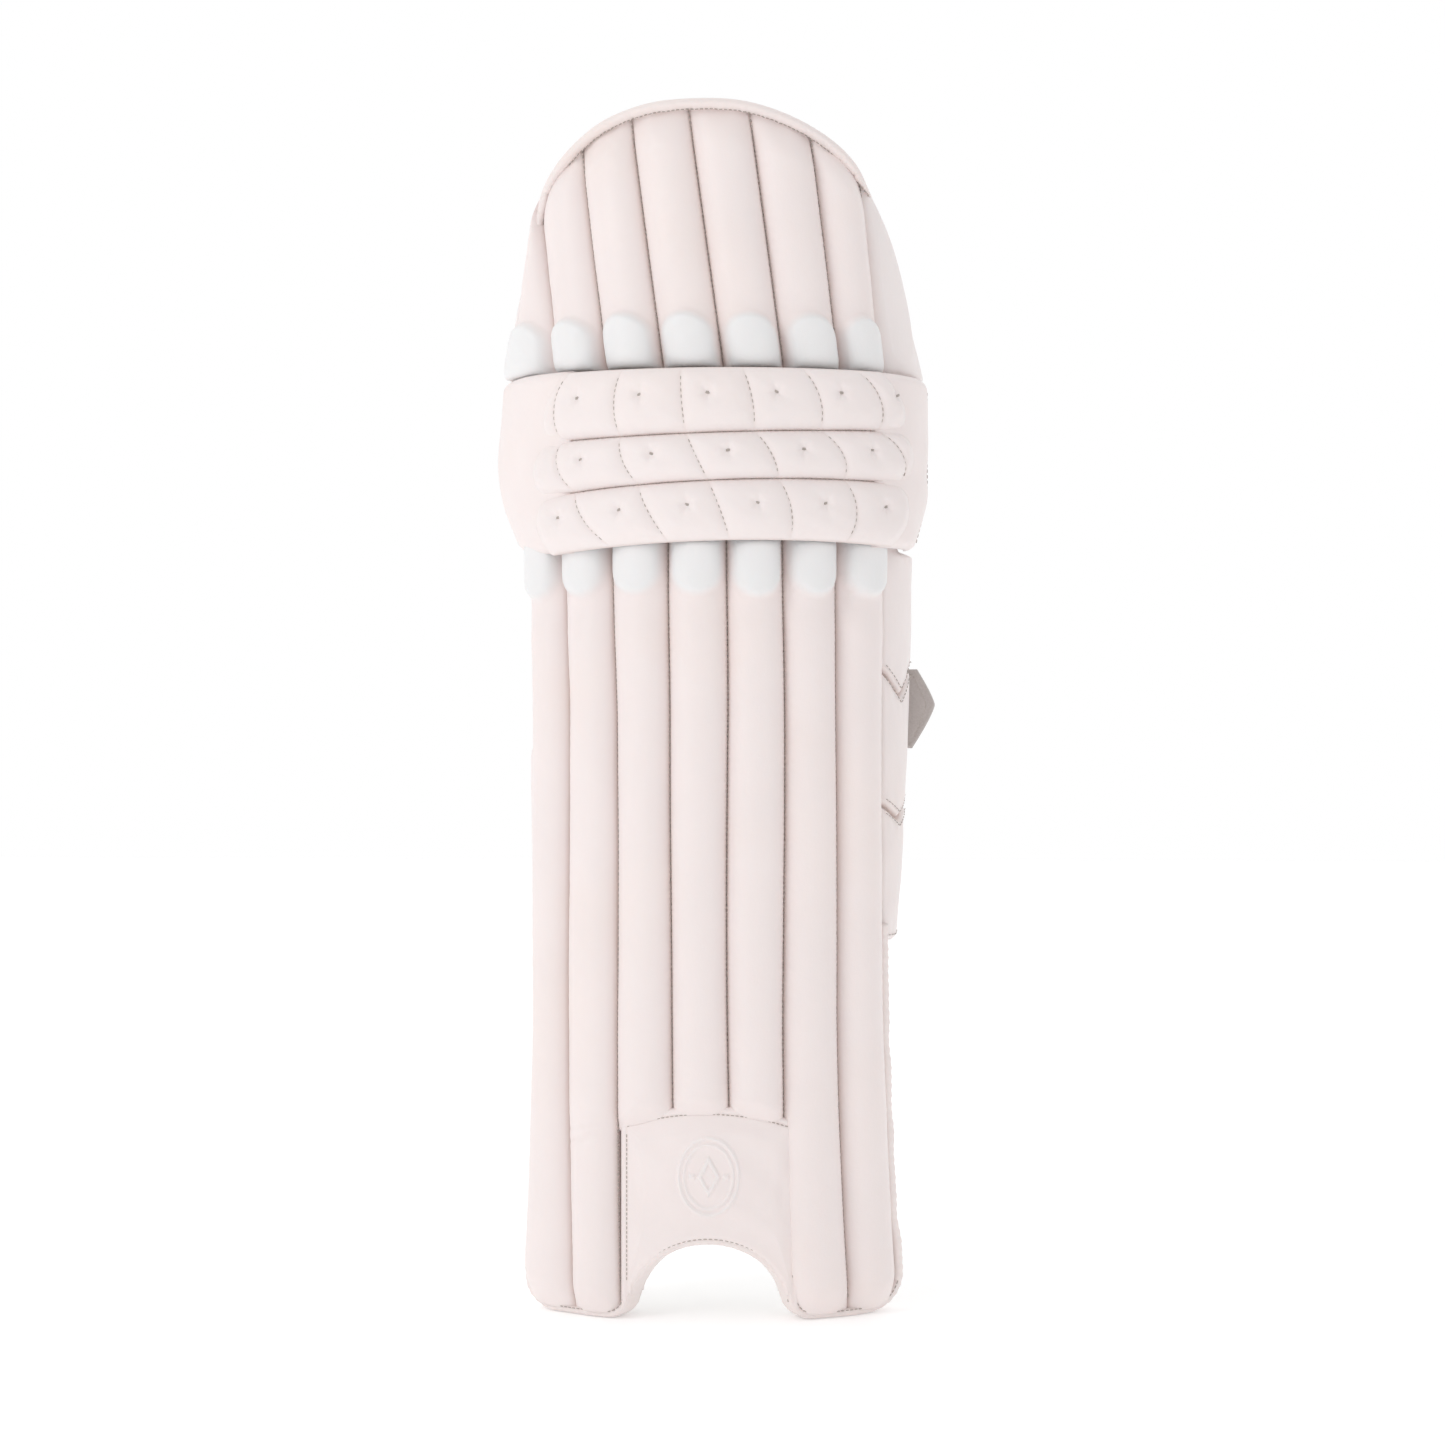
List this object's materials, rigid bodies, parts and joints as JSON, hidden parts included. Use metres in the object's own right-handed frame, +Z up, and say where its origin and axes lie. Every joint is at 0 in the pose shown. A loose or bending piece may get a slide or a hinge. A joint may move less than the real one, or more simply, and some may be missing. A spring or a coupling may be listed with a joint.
{
  "type": "cricket leg pad",
  "caption": "White batting leg pad with padded vertical rolls, quilted knee bars, a rounded thigh section, calf wings and straps; it bends at the knee.",
  "frame": {"origin": "centre of the pad's box in plan, on the surface it stands on", "axes": "+Z up along the leg, -Y to the front of the pad, +X towards the outer calf wing"},
  "size_m": [0.2476, 0.1322, 0.68],
  "materials": {
    "cover": "soft satin white PU with a fine grain, faintly pink",
    "cap_cover": "the same PU stretched smooth over moulded caps, cooler white",
    "binding": "narrow folded PU binding with a stitch line",
    "foam": "closed-cell foam, matt",
    "board": "pressed backing board, matt",
    "lining": "brushed woven lining",
    "cane": "split cane",
    "strap": "grey-taupe brushed strap with stitched edges",
    "hook_tape": "moulded hook tape",
    "thread": "twisted sewing thread"
  },
  "bodies": {
    "shin": {"shin_facing": "cover", "shin_filler_1": "foam", "shin_filler_2": "foam", "shin_filler_3": "foam", "shin_filler_4": "foam", "shin_filler_5": "foam", "shin_filler_6": "foam", "shin_filler_7": "foam", "shin_canes": "cane", "shin_roll_caps": "cap_cover", "shin_backing": "board", "shin_lining": "lining", "instep_patch": "cover", "instep_foam": "foam", "edge_binding": "binding", "outer_wing_upper": "cover", "outer_wing_middle": "cover", "outer_wing_lower": "cover", "inner_wing": "cover", "shin_bolster_left": "lining", "shin_bolster_right": "lining", "ankle_strap_root": "strap", "calf_strap_root": "strap"},
    "knee": {"knee_bar_cover_bottom": "cover", "knee_bar_cover_middle": "cover", "knee_bar_cover_top": "cover", "knee_bar_core_bottom": "foam", "knee_bar_core_middle": "foam", "knee_bar_core_top": "foam", "knee_end_left": "cover", "knee_end_right": "cover", "knee_backing": "board", "knee_lining": "lining", "knee_cushion": "lining", "knee_tacks": "thread", "knee_strap_root": "strap"},
    "thigh": {"thigh_facing": "cover", "thigh_filler_1": "foam", "thigh_filler_2": "foam", "thigh_filler_3": "foam", "thigh_filler_4": "foam", "thigh_filler_5": "foam", "thigh_filler_6": "foam", "thigh_filler_7": "foam", "thigh_canes": "cane", "thigh_roll_caps": "cap_cover", "thigh_backing": "board", "thigh_lining": "lining", "thigh_piping": "binding", "thigh_outer_wing": "cover", "thigh_inner_wing": "cover"},
    "ankle_strap": {"ankle_strap": "strap", "ankle_strap_hooks": "hook_tape"},
    "calf_strap": {"calf_strap": "strap", "calf_strap_hooks": "hook_tape"},
    "knee_strap": {"knee_strap": "strap", "knee_strap_hooks": "hook_tape"}
  },
  "joints": [
    {"name": "knee_fold", "type": "hinge", "parent": "shin", "child": "knee", "pos_m": [-0.00425, -0.03005, 0.435], "axis": [-1, 0, 0], "range_deg": [0, 20], "stiffness_Nm_per_rad": 4},
    {"name": "thigh_fold", "type": "hinge", "parent": "knee", "child": "thigh", "pos_m": [-0.00425, -0.03005, 0.529], "axis": [-1, 0, 0], "range_deg": [0, 18], "stiffness_Nm_per_rad": 4},
    {"name": "ankle_strap_swing", "type": "hinge", "parent": "shin", "child": "ankle_strap", "pos_m": [-0.09568, 0.02201, 0.13], "axis": [0, 0, 1], "range_deg": [0, 100]},
    {"name": "calf_strap_swing", "type": "hinge", "parent": "shin", "child": "calf_strap", "pos_m": [-0.09165, 0.05855, 0.341], "axis": [0, 0, 1], "range_deg": [0, 100]},
    {"name": "knee_strap_swing", "type": "hinge", "parent": "knee", "child": "knee_strap", "pos_m": [-0.10865, 0.05855, 0.482], "axis": [0, 0, 1], "range_deg": [0, 100]}
  ]
}
